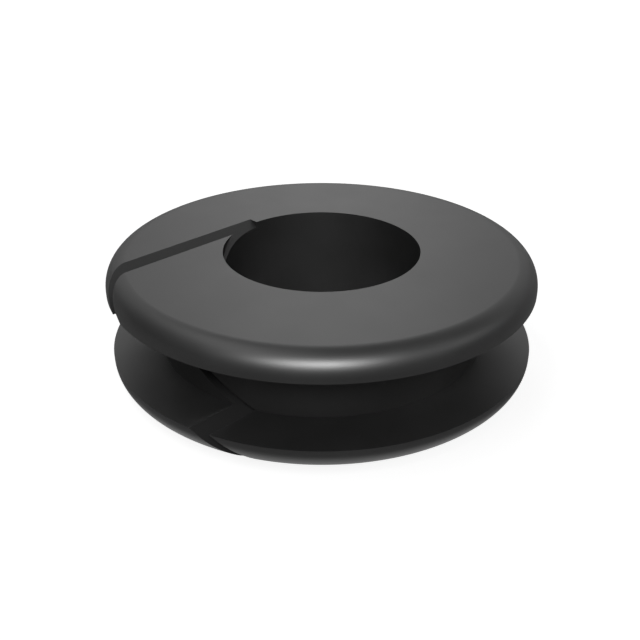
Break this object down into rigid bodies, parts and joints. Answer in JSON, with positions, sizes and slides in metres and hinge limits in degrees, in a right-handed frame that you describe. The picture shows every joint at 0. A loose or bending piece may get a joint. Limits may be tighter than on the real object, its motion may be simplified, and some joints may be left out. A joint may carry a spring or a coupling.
{
  "type": "split rubber grommet",
  "caption": "Round black rubber grommet that snaps into a panel hole and lines it for a cable, with a slanted slit so that it can be opened and slipped over a cable already in place.",
  "frame": {"origin": "on the bore's axis, halfway between the two outer faces, in the middle of the panel groove", "axes": "+Z along the bore, +Y away from the slit, so that the slit opens towards -Y; seen from -Y the slit runs from upper left to lower right"},
  "size_m": [0.0206, 0.0206, 0.0056],
  "materials": {
    "rubber": "moulded black rubber, satin with a soft sheen"
  },
  "bodies": {
    "root": {"grommet": "rubber"}
  },
  "joints": []
}
